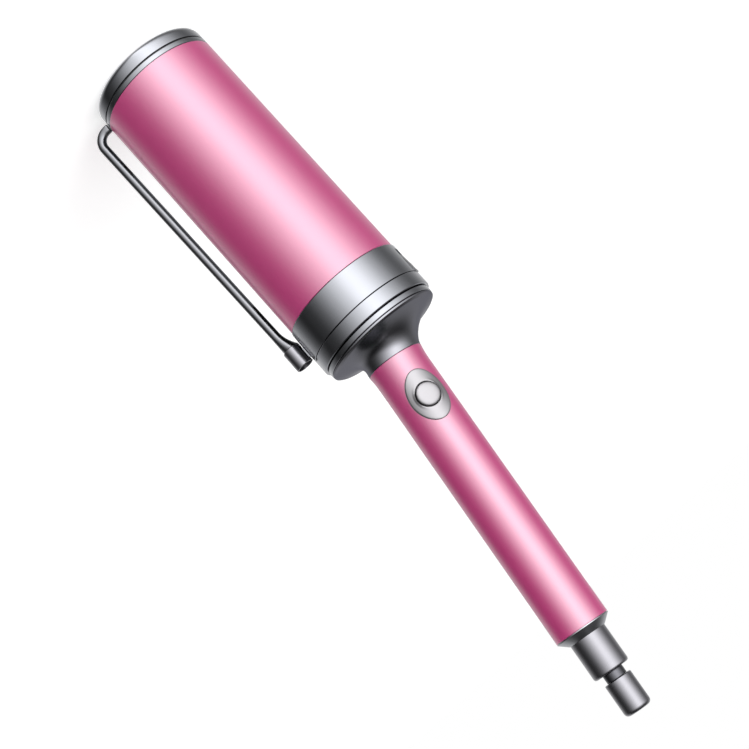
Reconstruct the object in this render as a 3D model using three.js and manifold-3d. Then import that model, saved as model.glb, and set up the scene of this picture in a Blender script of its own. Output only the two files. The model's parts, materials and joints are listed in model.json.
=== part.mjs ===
// Curling wand with a spring-loaded wire hair clip, in millimetres with +Z up.
// The wand stands on its tip cap: the origin is the centre of the cap's flat end face, and +Z
// runs along the barrel's axis towards the handle. The clip lies on the +X side of the barrel,
// and the handle leans towards +X. The heat slide is on the -X side of the collar.
import * as THREE from 'three';
import { mergeVertices } from 'three/addons/utils/BufferGeometryUtils.js';
import Module from 'manifold-3d';

const wasm = await Module();
wasm.setup();

// ---------------------------------------------------------------- driving dimensions

const DEG = Math.PI / 180;
const SEAM = 0.1; // hairline left between two pieces that meet end to end
const FIT = 0.2; // radial gap between nested pieces
const FACETS = 40; // sides of every large turned piece
const INNER_FACETS = 24; // sides of the turned pieces inside

// Lengths along the barrel's axis, from the tip.
const CAP_LENGTH = 6.3;
const GASKET_THICKNESS = 0.6;
const TIP_RING_LENGTH = 2.2;
const BARREL_LENGTH = 111.1;
const COLLAR_BAND_LENGTH = 14.1;
const COLLAR_RING_LENGTH = 6.2;
const RIM_LENGTH = 4.1;

// Radii about the barrel's axis.
const BARREL_RADIUS = 25.5;
const BARREL_WALL = 1.4;
const CAP_EDGE_RADIUS = 3.2;
const COLLAR_RADIUS = 25.9;
const COLLAR_INNER_RADIUS = 24.05;
const RIM_RADIUS = 24.9;
const RIM_END_RADIUS = 23.9;
const RIM_INNER_RADIUS = 22.6;

// The handle: its axis leaves the barrel's at HANDLE_PIVOT and leans by HANDLE_LEAN.
const HANDLE_PIVOT = 126.8;
const HANDLE_LEAN = 6.8 * DEG;
const HANDLE_RADIUS = 11.25;
const HANDLE_WALL = 1.3;
const NECK_RADIUS = 11.7;
const NECK_STATION = 27.3; // along the handle's axis from the pivot
const HANDLE_LENGTH = 121.5;
const END_RING_LENGTH = 3.4;

// The plug spigot, which swivels in the handle's end.
const STUB_RADIUS = 7.5;
const STUB_LENGTH = 15.2;
const GROOVE_RADIUS = 4.2;
const GROOVE_LENGTH = 3.3;
const TIP_RADIUS = 5.6;
const TIP_LENGTH = 13.7;
const SHAFT_RADIUS = 4.4;

// The power button, whose outward direction is turned from +X about the handle's axis.
const BUTTON_AZIMUTH = -114.5 * DEG;
const BUTTON_STATION = 46.5;
const BUTTON_RADIUS = 4.65;
const BUTTON_CROWN = 12.6; // distance of the dome's top from the handle's axis
const BEZEL_HALF_LENGTH = 10.8;
const BEZEL_HALF_WIDTH = 7.4;
const BEZEL_RADIUS = 11.9;

// The wire hair clip, in the XZ plane.
const WIRE_RADIUS = 1.95;
const WIRE_TIP_OFFSET = 33; // wire centre from the barrel's axis, at the tip
const WIRE_ROOT_OFFSET = 31.35;
const HOOK_STATION = 5.5;
const HOOK_BEND_RADIUS = 5.2;
const HOOK_CLEARANCE = 0.3;
const FLARE_RADIUS = 3.4;
const FLARE_OFFSET = 29.95;
const FLARE_LENGTH = 8.5;
const FERRULE_RADIUS = 3.7;
const FERRULE_OFFSET = 30.2;
const FERRULE_START = 122.4;
const FERRULE_END = 131.1;
const PIN_STATION = 127.5;
const PIN_RADIUS = 0.8;
const CLIP_OPENING = 12 * DEG;
const CLEVIS_HALF_WIDTH = 2.3;
const LUG_HALF_THICKNESS = 0.8;
const LUG_RADIUS = 1.7;

// The heat slide on the collar.
const SLIDE_LENGTH = 8.6;
const SLIDE_HALF_WIDTH = 3;
const SLIDE_TRAVEL = 2.5;
const SLIDE_FLOOR = 24.9; // distance of its pocket's floor from the barrel's axis

// The heater inside the barrel.
const SHOE_START = 24;
const SHOE_END = 97.6;
const SHOE_WALL = 1.75;
const SENSOR_START = 58;
const SENSOR_LENGTH = 8;
const FUSE_LENGTH = 11;

// The coil about the clip's pin, between the lug and the ferrule's cheek.
const SPRING_WIRE_RADIUS = 0.17;
const SPRING_RADIUS = 1.45;
const SPRING_TURNS = 2.25;
const SPRING_LENGTH = 0.9;

// What lies inside the handle, along its axis from the pivot.
const BOARD_START = 37;
const BOARD_END = 119;
const BOARD_TOP = 2.8; // the control board's outer face, from the handle's axis
const BOARD_THICKNESS = 1.6;
const TRAY_OVERHANG = 1;
const MODULE_START = 60;
const MODULE_END = 94;
const TRAY_END = 124;
const LIVE_CONTACT_START = 126.6;
const NEUTRAL_CONTACT_START = 131.8;
const SHAFT_START = 131.5;
const BUSH_START = 136;
const BUSH_RADIUS = 7.4;

// ---------------------------------------------------------------- stations and bores

const capTop = CAP_LENGTH;
const gasketTop = capTop + GASKET_THICKNESS;
const barrelBottom = gasketTop + TIP_RING_LENGTH;
const barrelTop = barrelBottom + BARREL_LENGTH;
const bandTop = barrelTop + COLLAR_BAND_LENGTH;
const ringTop = bandTop + COLLAR_RING_LENGTH;
const rimTop = ringTop + RIM_LENGTH;
const barrelBore = BARREL_RADIUS - BARREL_WALL;
const handleBore = HANDLE_RADIUS - HANDLE_WALL;
const handleEnd = NECK_STATION + HANDLE_LENGTH;
const endRingEnd = handleEnd + END_RING_LENGTH;
const stubStart = endRingEnd + FIT;
const stubEnd = stubStart + STUB_LENGTH;
const grooveEnd = stubEnd + GROOVE_LENGTH;
const spigotEnd = grooveEnd + TIP_LENGTH;
const plugTop = gasketTop + 6.1; // inner face of the ceramic plug
const screwBore = 1.5;
const holderRadius = barrelBore - 0.25;
const holderFlange = bandTop - 2.3; // lower face of the barrel holder's flange
const holderScrewCircle = 17.5;
const holderScrewAzimuths = [0, 120, 240].map((degrees) => degrees * DEG);
const shoeRadius = barrelBore - 0.25;
const shoeInnerRadius = shoeRadius - SHOE_WALL;
const sensorEnd = SENSOR_START + SENSOR_LENGTH;
const clipGroove = { from: BUSH_START - 1.1, to: BUSH_START - 0.2, radius: 3.7 };
const stubBore = 2.6;
const slideEnd = bandTop - SEAM;

// ---------------------------------------------------------------- materials

const finish = (color, roughness, metalness) =>
  new THREE.MeshStandardMaterial({ color, roughness, metalness });
const PINK = finish(0xd2649a, 0.28, 0.9);
const CHROME = finish(0xd4d6da, 0.08, 1);
const STEEL = finish(0xa9a9ab, 0.35, 1);
const ALUMINIUM = finish(0xb9bcc0, 0.45, 1);
const BLACK_CHROME = finish(0x34363c, 0.12, 1);
const BLACK_PLASTIC = finish(0x1c1c1e, 0.5, 0);
const CERAMIC = finish(0xe8e2d6, 0.7, 0);
const MICA = finish(0xb99f6c, 0.6, 0);
const BOARD_GREEN = finish(0x2b6b42, 0.5, 0);
const BRASS = finish(0xc9a24e, 0.3, 1);
const SILICONE_RED = finish(0xa23a34, 0.6, 0);
const SILICONE_WHITE = finish(0xe6e6e6, 0.6, 0);

// ---------------------------------------------------------------- shape helpers

const at = (x, y) => new THREE.Vector2(x, y);

// Points of an arc about (x, y), from one angle to another in degrees.
function arc(x, y, radius, from, to, steps) {
  const points = [];
  for (let i = 0; i <= steps; i += 1) {
    const angle = (from + ((to - from) * i) / steps) * DEG;
    points.push(at(x + radius * Math.cos(angle), y + radius * Math.sin(angle)));
  }
  return points;
}

// A turned piece about Z. The profile's points are (radius, z), in either order.
function turned(points, facets = FACETS) {
  const profile = THREE.ShapeUtils.area(points) < 0 ? [...points].reverse() : [...points];
  const startsOnAxis = profile[0].x === 0 && profile.at(-1).x === 0;
  if (!startsOnAxis) profile.push(profile[0].clone());
  const geometry = new THREE.LatheGeometry(profile, facets);
  geometry.rotateX(Math.PI / 2);
  return geometry;
}

// A plain tube or washer about Z.
function sleeve(inner, outer, from, to, facets = FACETS) {
  return turned([at(inner, from), at(outer, from), at(outer, to), at(inner, to)], facets);
}

// A round bar along Z, centred at (x, y).
function bar(radius, x, y, from, to, facets = 20) {
  const geometry = new THREE.CylinderGeometry(radius, radius, to - from, facets);
  geometry.rotateX(Math.PI / 2);
  geometry.translate(x, y, (from + to) / 2);
  return geometry;
}

// A round bar along Y, centred at (x, z).
function crossBar(radius, x, z, from, to, facets = 20) {
  const geometry = new THREE.CylinderGeometry(radius, radius, to - from, facets);
  geometry.translate(x, (from + to) / 2, z);
  return geometry;
}

function block([x0, x1], [y0, y1], [z0, z1]) {
  const geometry = new THREE.BoxGeometry(x1 - x0, y1 - y0, z1 - z0);
  geometry.translate((x0 + x1) / 2, (y0 + y1) / 2, (z0 + z1) / 2);
  return geometry;
}

// An outline in the XY plane, raised along Z.
function raised(shape, from, to, curveSegments = 12) {
  const options = { depth: to - from, bevelEnabled: false, curveSegments };
  const geometry = new THREE.ExtrudeGeometry(shape, options);
  geometry.translate(0, 0, from);
  return geometry;
}

// An outline given as (z, x) points, raised along Y from -halfWidth to halfWidth.
function sideways(shape, halfWidth, curveSegments = 12) {
  const geometry = raised(shape, -halfWidth, halfWidth, curveSegments);
  const turn = new THREE.Matrix4();
  turn.makeBasis(new THREE.Vector3(0, 0, 1), new THREE.Vector3(1, 0, 0), new THREE.Vector3(0, 1, 0));
  geometry.applyMatrix4(turn);
  return geometry;
}

// An oval hole tool that runs outwards along X, long in Z.
function ovalBar(halfWidth, halfLength, station, from, to) {
  const oval = new THREE.Shape();
  oval.absellipse(0, 0, halfWidth, halfLength, 0, 2 * Math.PI);
  const geometry = raised(oval, from, to, 14);
  const turn = new THREE.Matrix4();
  turn.makeBasis(new THREE.Vector3(0, 1, 0), new THREE.Vector3(0, 0, 1), new THREE.Vector3(1, 0, 0));
  geometry.applyMatrix4(turn);
  geometry.translate(0, 0, station);
  return geometry;
}

// A closed skin over rings, each with a centre, a radius and two directions across the wire.
function skin(rings, sides) {
  const positions = [];
  const index = [];
  for (const { centre, normal, binormal, radius } of rings) {
    for (let j = 0; j < sides; j += 1) {
      const angle = (2 * Math.PI * j) / sides;
      const rim = centre.clone();
      rim.addScaledVector(normal, radius * Math.cos(angle));
      rim.addScaledVector(binormal, radius * Math.sin(angle));
      positions.push(rim.x, rim.y, rim.z);
    }
  }
  for (let i = 0; i < rings.length - 1; i += 1) {
    for (let j = 0; j < sides; j += 1) {
      const near = i * sides + j;
      const side = i * sides + ((j + 1) % sides);
      index.push(near, side, near + sides, side, side + sides, near + sides);
    }
  }
  const last = (rings.length - 1) * sides;
  for (let j = 1; j < sides - 1; j += 1) {
    index.push(0, j + 1, j);
    index.push(last, last + j, last + j + 1);
  }
  const geometry = new THREE.BufferGeometry();
  geometry.setAttribute('position', new THREE.Float32BufferAttribute(positions, 3));
  geometry.setIndex(index);
  return geometry;
}

// A round wire of one radius along a curve.
function wire(curve, radius, steps, sides) {
  const frames = curve.computeFrenetFrames(steps, false);
  const rings = frames.tangents.map((_, i) => ({
    centre: curve.getPointAt(i / steps),
    normal: frames.normals[i],
    binormal: frames.binormals[i],
    radius,
  }));
  return skin(rings, sides);
}

// ---------------------------------------------------------------- cutting and joining

function toSolid(geometry) {
  const bare = new THREE.BufferGeometry();
  bare.setAttribute('position', geometry.getAttribute('position'));
  bare.setIndex(geometry.index);
  const merged = mergeVertices(bare, 1e-4);
  const corners = merged.index.array;
  const triangles = [];
  for (let i = 0; i < corners.length; i += 3) {
    const [a, b, c] = corners.slice(i, i + 3);
    if (a !== b && b !== c && c !== a) triangles.push(a, b, c);
  }
  const vertProperties = Float32Array.from(merged.getAttribute('position').array);
  const triVerts = Uint32Array.from(triangles);
  return new wasm.Manifold(new wasm.Mesh({ numProp: 3, vertProperties, triVerts }));
}

function toGeometry(solid) {
  const mesh = solid.getMesh();
  const geometry = new THREE.BufferGeometry();
  geometry.setAttribute('position', new THREE.BufferAttribute(mesh.vertProperties, 3));
  geometry.setIndex(new THREE.BufferAttribute(mesh.triVerts, 1));
  return geometry;
}

function cut(geometry, ...tools) {
  const cutAway = (solid, tool) => solid.subtract(toSolid(tool));
  return toGeometry(tools.reduce(cutAway, toSolid(geometry)));
}

function join(geometry, ...others) {
  const addTo = (solid, other) => solid.add(toSolid(other));
  return toGeometry(others.reduce(addTo, toSolid(geometry)));
}

function overlapOf(geometry, other) {
  return toGeometry(toSolid(geometry).intersect(toSolid(other)));
}

// ---------------------------------------------------------------- assembly groups

const wand = new THREE.Group();
const handle = new THREE.Group();
handle.position.set(0, 0, HANDLE_PIVOT);
handle.rotation.y = HANDLE_LEAN;
const deck = new THREE.Group(); // the handle turned so that +X is the button's direction
deck.rotation.z = BUTTON_AZIMUTH;
handle.add(deck);
wand.add(handle);

function place(group, name, geometry, material) {
  const mesh = new THREE.Mesh(geometry, material);
  mesh.name = name;
  group.add(mesh);
}

// A point of the deck's frame, in the wand's frame.
function fromDeck(x, y, z) {
  wand.updateMatrixWorld(true);
  return new THREE.Vector3(x, y, z).applyMatrix4(deck.matrixWorld);
}

// ---------------------------------------------------------------- tip

function tipCap() {
  const radius = BARREL_RADIUS - SEAM;
  const floor = 1.6;
  const boss = 4.2;
  return turned([
    at(0, 0),
    ...arc(radius - CAP_EDGE_RADIUS, CAP_EDGE_RADIUS, CAP_EDGE_RADIUS, -90, 0, 5),
    at(radius, capTop),
    at(radius - 1.8, capTop),
    at(radius - 1.8, floor),
    at(boss, floor),
    at(boss, capTop),
    at(screwBore, capTop),
    at(screwBore, floor + 0.6),
    at(0, floor + 0.6),
  ]);
}

function tipGasket() {
  return sleeve(screwBore + 0.4, BARREL_RADIUS - 0.6, capTop + SEAM, gasketTop);
}

// The bright ring behind the gasket is the rim of a cup that plugs the barrel.
function tipRing() {
  const base = gasketTop + SEAM;
  const web = base + 1.5;
  const spigot = barrelBore - FIT;
  return turned([
    at(screwBore + 0.4, base),
    at(BARREL_RADIUS - 0.3, base),
    at(BARREL_RADIUS, base + 0.3),
    at(BARREL_RADIUS, barrelBottom - SEAM),
    at(spigot, barrelBottom - SEAM),
    at(spigot, barrelBottom + 7),
    at(spigot - 1.6, barrelBottom + 7),
    at(spigot - 1.6, web),
    at(screwBore + 0.4, web),
  ]);
}

function tipPlug() {
  const radius = barrelBore - 2 * FIT - 1.6;
  return sleeve(screwBore + 0.4, radius, gasketTop + 1.7, plugTop, INNER_FACETS);
}

// A pan-head screw with a round recess, head at the far end from its point.
function screw(shank, head, point, seat, headHeight) {
  const side = Math.sign(headHeight);
  const top = seat + headHeight;
  return turned([
    at(0, point),
    at(shank, point),
    at(shank, seat),
    at(head, seat),
    at(head, top - side * 0.5),
    at(head - 0.5, top),
    at(shank * 0.8, top),
    at(shank * 0.8, top - side * 0.8),
    at(0, top - side * 0.8),
  ], 12);
}

// ---------------------------------------------------------------- barrel and heater

function barrelTube() {
  return sleeve(barrelBore, BARREL_RADIUS, barrelBottom, barrelTop);
}

// A half-round heat spreader: a curved wall on a web, with a flat foot against the heater.
function heaterShoe() {
  const wallHalfAngle = 72;
  const webHalf = 1.6;
  const webAngle = Math.asin(webHalf / shoeInnerRadius) / DEG;
  const foot = { near: 2.3, far: 4, halfWidth: 10.5 };
  const outline = [
    ...arc(0, 0, shoeRadius, -wallHalfAngle, wallHalfAngle, 14),
    ...arc(0, 0, shoeInnerRadius, wallHalfAngle, webAngle, 7),
    at(foot.far, webHalf),
    at(foot.far, foot.halfWidth),
    at(foot.near, foot.halfWidth),
    at(foot.near, -foot.halfWidth),
    at(foot.far, -foot.halfWidth),
    at(foot.far, -webHalf),
    ...arc(0, 0, shoeInnerRadius, -webAngle, -wallHalfAngle, 7),
  ];
  return raised(new THREE.Shape(outline), SHOE_START, SHOE_END);
}

// A bowed strip that pushes the two shoes against the barrel.
function shoeSpring() {
  const radius = shoeInnerRadius - FIT;
  const outline = [...arc(0, 0, radius, 58, 122, 10), ...arc(0, 0, radius - 0.5, 122, 58, 10)];
  return raised(new THREE.Shape(outline), SHOE_START + 6, SHOE_END - 6);
}

function micaDisc() {
  return sleeve(7.5, holderRadius - 0.2, SHOE_END + 2.4, SHOE_END + 3.2, INNER_FACETS);
}

function barrelHolder() {
  const inner = holderRadius - 1.65;
  const body = turned([
    at(inner, barrelTop - 17.5),
    at(holderRadius, barrelTop - 17.5),
    at(holderRadius, bandTop - SEAM),
    at(13, bandTop - SEAM),
    at(13, holderFlange),
    at(inner, holderFlange),
  ], INNER_FACETS);
  const holes = holderScrewAzimuths.map((azimuth) => {
    const x = holderScrewCircle * Math.cos(azimuth);
    const y = holderScrewCircle * Math.sin(azimuth);
    return bar(1.25, x, y, holderFlange - 1, bandTop + 1, 16);
  });
  return cut(body, slideSlot(), ...holes);
}

// ---------------------------------------------------------------- collar

// The slot that the heat slide's stem passes through.
function slideSlot() {
  const stemEnd = slideEnd - 3.2;
  return block([-27, -20], [-1.7, 1.7], [stemEnd - 2 - SLIDE_TRAVEL - 0.4, stemEnd + 0.4]);
}

// The band between barrel and seam, with the clip's lug, the pocket that the ferrule's tail
// dips into as the clip opens, and the heat slide's pocket.
function collarBand() {
  const chamfer = 0.25;
  const band = turned([
    at(COLLAR_INNER_RADIUS, barrelTop + SEAM),
    at(COLLAR_RADIUS - chamfer, barrelTop + SEAM),
    at(COLLAR_RADIUS, barrelTop + SEAM + chamfer),
    at(COLLAR_RADIUS, bandTop - chamfer),
    at(COLLAR_RADIUS - chamfer, bandTop),
    at(COLLAR_INNER_RADIUS, bandTop),
  ]);
  const tailLength = FERRULE_END - PIN_STATION;
  const tailPocket = bar(FERRULE_RADIUS + FIT, 0, 0, 0, tailLength + 0.4, 28);
  tailPocket.rotateY(-CLIP_OPENING - 0.5 * DEG);
  tailPocket.translate(FERRULE_OFFSET, 0, PIN_STATION);
  const slidePocket = block(
    [-30, -SLIDE_FLOOR],
    [-SLIDE_HALF_WIDTH - 0.3, SLIDE_HALF_WIDTH + 0.3],
    [slideEnd - SLIDE_LENGTH - SLIDE_TRAVEL - 0.4, bandTop + 1],
  );
  const hollowed = cut(band, tailPocket, slidePocket, slideSlot());
  return join(hollowed, clipLug());
}

// The lug stands on the collar and carries the clip's pin.
function clipLug() {
  const root = COLLAR_RADIUS - 0.8;
  const outline = new THREE.Shape();
  outline.moveTo(PIN_STATION - 2.4, root);
  outline.lineTo(PIN_STATION - LUG_RADIUS, FERRULE_OFFSET);
  outline.absarc(PIN_STATION, FERRULE_OFFSET, LUG_RADIUS, Math.PI, 0, true);
  outline.lineTo(PIN_STATION + 2.4, root);
  outline.closePath();
  const eye = new THREE.Path();
  eye.absarc(PIN_STATION, FERRULE_OFFSET, PIN_RADIUS + FIT, 0, 2 * Math.PI, false);
  outline.holes.push(eye);
  return sideways(outline, LUG_HALF_THICKNESS, 10);
}

function collarRing() {
  const chamfer = 0.25;
  return turned([
    at(RIM_INNER_RADIUS, bandTop + SEAM),
    at(COLLAR_RADIUS - chamfer, bandTop + SEAM),
    at(COLLAR_RADIUS, bandTop + SEAM + chamfer),
    at(COLLAR_RADIUS, ringTop - 0.6),
    at(COLLAR_RADIUS - 0.5, ringTop),
    at(RIM_INNER_RADIUS, ringTop),
  ]);
}

function rimRing() {
  return turned([
    at(RIM_INNER_RADIUS, ringTop + SEAM),
    at(RIM_RADIUS, ringTop + SEAM),
    at(RIM_RADIUS, rimTop - 1.4),
    at(RIM_END_RADIUS, rimTop),
    at(RIM_INNER_RADIUS, rimTop),
  ]);
}

// Turns what lies beyond the rim towards the handle's axis, smoothly up to the neck.
function leanToHandle(geometry) {
  const position = geometry.getAttribute('position');
  const start = rimTop - HANDLE_PIVOT;
  for (let i = 0; i < position.count; i += 1) {
    const x = position.getX(i);
    const height = position.getZ(i) - HANDLE_PIVOT;
    const angle = HANDLE_LEAN * THREE.MathUtils.smoothstep(height, start, NECK_STATION);
    position.setX(i, x * Math.cos(angle) + height * Math.sin(angle));
    position.setZ(i, HANDLE_PIVOT - x * Math.sin(angle) + height * Math.cos(angle));
  }
  return geometry;
}

// The concave shoulder that narrows from the rim to the neck. Its base ring lies inside the
// rim, its spigot lies inside the handle, and three bosses take the holder's screws.
function bellNeck() {
  const neck = HANDLE_PIVOT + NECK_STATION;
  const shoulder = new THREE.CubicBezierCurve(
    at(RIM_END_RADIUS - FIT, rimTop + SEAM),
    at(18.5, rimTop + 1.5),
    at(NECK_RADIUS + 0.5, rimTop + 2.8),
    at(NECK_RADIUS, neck),
  );
  const spigot = handleBore - FIT;
  const shell = leanToHandle(turned([
    at(13, ringTop + FIT),
    at(RIM_INNER_RADIUS - FIT, ringTop + FIT),
    at(RIM_INNER_RADIUS - FIT, rimTop + SEAM),
    ...shoulder.getPoints(8),
    at(spigot, neck),
    at(spigot, neck + 5.5),
    at(spigot - 1.5, neck + 5.5),
    at(spigot - 1.5, neck - 2.5),
    at(13, rimTop + 0.8),
  ]));
  const bosses = [];
  const holes = [];
  for (const azimuth of holderScrewAzimuths) {
    const x = holderScrewCircle * Math.cos(azimuth);
    const y = holderScrewCircle * Math.sin(azimuth);
    bosses.push(bar(2.7, x, y, bandTop + FIT, ringTop + 1, 16));
    holes.push(bar(1.15, x, y, bandTop - 1, ringTop + 3.3, 12));
  }
  return cut(join(shell, ...bosses), ...holes);
}

// ---------------------------------------------------------------- heat slide

function heatSlideTab() {
  const start = slideEnd - SLIDE_LENGTH;
  const base = SLIDE_FLOOR + FIT;
  const stemEnd = slideEnd - 3.2;
  const outline = new THREE.Shape([
    at(start, -base),
    at(start + 0.5, -COLLAR_RADIUS),
    at(slideEnd - 0.3, -COLLAR_RADIUS - 0.55),
    at(slideEnd, -COLLAR_RADIUS - 0.45),
    at(slideEnd, -base),
  ]);
  const plate = sideways(outline, SLIDE_HALF_WIDTH);
  const stem = block([-base - 0.4, -20.9], [-1.4, 1.4], [stemEnd - 2, stemEnd]);
  return join(plate, stem);
}

function heatSlideSwitch() {
  return block([-20.4, -15.4], [-3.5, 3.5], [holderFlange - 7.4, holderFlange - SEAM]);
}

// ---------------------------------------------------------------- hair clip

// A section of the clip's wire at (x, z), square to a direction given in degrees from +X to +Z.
function clipSection(x, z, direction, radius) {
  const angle = direction * DEG;
  return {
    centre: new THREE.Vector3(x, 0, z),
    normal: new THREE.Vector3(-Math.sin(angle), 0, Math.cos(angle)),
    binormal: new THREE.Vector3(0, -1, 0),
    radius,
  };
}

// The wire hooks in to the barrel at the tip, runs back beside it, and flares into the ferrule.
function clipWire() {
  const bendSteps = 7;
  const flareSteps = 4;
  const hookX = WIRE_TIP_OFFSET - HOOK_BEND_RADIUS;
  const hookEnd = BARREL_RADIUS + HOOK_CLEARANCE;
  const sections = [clipSection(hookEnd, HOOK_STATION, 0, WIRE_RADIUS)];
  for (let i = 0; i <= bendSteps; i += 1) {
    const direction = (90 * i) / bendSteps;
    const x = hookX + HOOK_BEND_RADIUS * Math.sin(direction * DEG);
    const z = HOOK_STATION + HOOK_BEND_RADIUS * (1 - Math.cos(direction * DEG));
    sections.push(clipSection(x, z, direction, WIRE_RADIUS));
  }
  const flareStart = FERRULE_START - SEAM - FLARE_LENGTH;
  for (let i = 0; i <= flareSteps; i += 1) {
    const t = i / flareSteps;
    const blend = THREE.MathUtils.smoothstep(t, 0, 1);
    const x = THREE.MathUtils.lerp(WIRE_ROOT_OFFSET, FLARE_OFFSET, blend);
    const radius = THREE.MathUtils.lerp(WIRE_RADIUS, FLARE_RADIUS, blend);
    sections.push(clipSection(x, flareStart + FLARE_LENGTH * t, 90, radius));
  }
  const shank = bar(1.6, FLARE_OFFSET, 0, FERRULE_START - 1, FERRULE_START + 1.6, 16);
  return join(skin(sections, 14), shank);
}

// A short tube that holds the wire's end, slotted on its inner side to straddle the lug.
function clipFerrule() {
  const slotStart = PIN_STATION - 3.5;
  const body = bar(FERRULE_RADIUS, FERRULE_OFFSET, 0, FERRULE_START, FERRULE_END, 32);
  const slot = block(
    [FERRULE_OFFSET - 6, FERRULE_OFFSET + LUG_RADIUS + 0.4],
    [-CLEVIS_HALF_WIDTH, CLEVIS_HALF_WIDTH],
    [slotStart, FERRULE_END + 1],
  );
  const socket = bar(1.8, FLARE_OFFSET, 0, FERRULE_START - 1, slotStart + 1, 16);
  const pinHole = crossBar(PIN_RADIUS + 0.1, FERRULE_OFFSET, PIN_STATION, -5, 5, 16);
  return cut(body, slot, socket, pinHole);
}

function clipPin() {
  const half = FERRULE_RADIUS - 0.05;
  return crossBar(PIN_RADIUS, FERRULE_OFFSET, PIN_STATION, -half, half, 16);
}

class PinCoil extends THREE.Curve {
  getPoint(t, target = new THREE.Vector3()) {
    const angle = 2 * Math.PI * SPRING_TURNS * t;
    return target.set(
      FERRULE_OFFSET + SPRING_RADIUS * Math.cos(angle),
      LUG_HALF_THICKNESS + 0.3 + SPRING_LENGTH * t,
      PIN_STATION + SPRING_RADIUS * Math.sin(angle),
    );
  }
}

function clipSpring() {
  return wire(new PinCoil(), SPRING_WIRE_RADIUS, 36, 5);
}

// ---------------------------------------------------------------- handle

function handleTube() {
  const flare = new THREE.QuadraticBezierCurve(
    at(NECK_RADIUS, NECK_STATION + SEAM),
    at(HANDLE_RADIUS, NECK_STATION + 1.8),
    at(HANDLE_RADIUS, NECK_STATION + 5),
  );
  const tube = turned([
    at(handleBore, NECK_STATION + SEAM),
    ...flare.getPoints(3),
    at(HANDLE_RADIUS, handleEnd),
    at(handleBore, handleEnd),
  ]);
  const window = ovalBar(BEZEL_HALF_WIDTH - 0.8, BEZEL_HALF_LENGTH - 0.8, BUTTON_STATION, 2, 20);
  window.rotateZ(BUTTON_AZIMUTH);
  return cut(tube, window);
}

// An oval saddle: a lip that lies on the handle, over a plug that fills its window.
function buttonBezel() {
  const near = BUTTON_STATION - 15;
  const far = BUTTON_STATION + 15;
  const lipUnderside = HANDLE_RADIUS + 0.15;
  const lip = overlapOf(
    ovalBar(BEZEL_HALF_WIDTH, BEZEL_HALF_LENGTH, BUTTON_STATION, 2, 14),
    sleeve(lipUnderside, BEZEL_RADIUS, near, far, 56),
  );
  const plug = overlapOf(
    ovalBar(BEZEL_HALF_WIDTH - 1.1, BEZEL_HALF_LENGTH - 1.1, BUTTON_STATION, 2, 14),
    sleeve(handleBore + 0.1, lipUnderside + 0.2, near, far, 56),
  );
  const well = ovalBar(BUTTON_RADIUS + 0.3, BUTTON_RADIUS + 0.3, BUTTON_STATION, 2, 14);
  return cut(join(lip, plug), well);
}

// A domed cap on a flange that keeps it under the bezel.
function powerButton() {
  const flange = { radius: 5.2, near: 6.9, far: 7.6 };
  const shoulder = BEZEL_RADIUS - 0.3;
  const dome = new THREE.QuadraticBezierCurve(
    at(BUTTON_RADIUS, shoulder),
    at(BUTTON_RADIUS - 0.5, BUTTON_CROWN),
    at(0, BUTTON_CROWN),
  );
  const geometry = turned([
    at(0, flange.near),
    at(flange.radius, flange.near),
    at(flange.radius, flange.far),
    at(BUTTON_RADIUS, flange.far),
    ...dome.getPoints(5),
  ], 32);
  geometry.rotateY(Math.PI / 2);
  geometry.translate(0, 0, BUTTON_STATION);
  return geometry;
}

function tactSwitch() {
  const half = 3;
  const body = block(
    [BOARD_TOP + SEAM, BOARD_TOP + 2.4],
    [-half, half],
    [BUTTON_STATION - half, BUTTON_STATION + half],
  );
  const plunger = bar(1.7, 0, 0, BOARD_TOP + 2, BOARD_TOP + 3.2, 16);
  plunger.rotateY(Math.PI / 2);
  plunger.translate(0, 0, BUTTON_STATION);
  return join(body, plunger);
}

function controlBoard() {
  return block([BOARD_TOP - BOARD_THICKNESS, BOARD_TOP], [-8.4, 8.4], [BOARD_START, BOARD_END]);
}

// A half pipe that carries the control board on its two edges.
function boardTray() {
  const outline = [...arc(0, 0, 9.2, 84, 276, 20), ...arc(0, 0, 8, 276, 84, 20)];
  return raised(new THREE.Shape(outline), BOARD_START - TRAY_OVERHANG, TRAY_END);
}

function powerModule() {
  return block([-5.2, BOARD_TOP - BOARD_THICKNESS - 0.3], [-4.6, 4.6], [MODULE_START, MODULE_END]);
}

function capacitor() {
  return bar(3.3, -2.7, 0, MODULE_END + 3, MODULE_END + 19, 24);
}

function handleEndRing() {
  const spigot = handleBore - FIT;
  return turned([
    at(5.6, endRingEnd),
    at(STUB_RADIUS + 0.15, endRingEnd),
    at(HANDLE_RADIUS + 0.05, handleEnd + 0.4),
    at(HANDLE_RADIUS + 0.05, handleEnd + SEAM),
    at(spigot, handleEnd + SEAM),
    at(spigot, handleEnd - 4.8),
    at(spigot - 1.7, handleEnd - 4.8),
    at(spigot - 1.7, handleEnd + 0.3),
    at(5.6, handleEnd + 0.3),
  ]);
}

function swivelBush() {
  const flange = 2.3;
  return turned([
    at(SHAFT_RADIUS + 0.3, BUSH_START),
    at(handleBore - 0.3, BUSH_START),
    at(handleBore - 0.3, BUSH_START + flange),
    at(BUSH_RADIUS, BUSH_START + flange),
    at(BUSH_RADIUS, handleEnd),
    at(SHAFT_RADIUS + 0.3, handleEnd),
  ], INNER_FACETS);
}

// A strip whose free end faces the tip conductor's end.
function liveContact() {
  const outline = new THREE.Shape([
    at(LIVE_CONTACT_START, -1.5),
    at(LIVE_CONTACT_START, 7),
    at(BUSH_START - FIT, 7),
    at(BUSH_START - FIT, 6.5),
    at(LIVE_CONTACT_START + 0.5, 6.5),
    at(LIVE_CONTACT_START + 0.5, -1.5),
  ]);
  return sideways(outline, 1.5);
}

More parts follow.
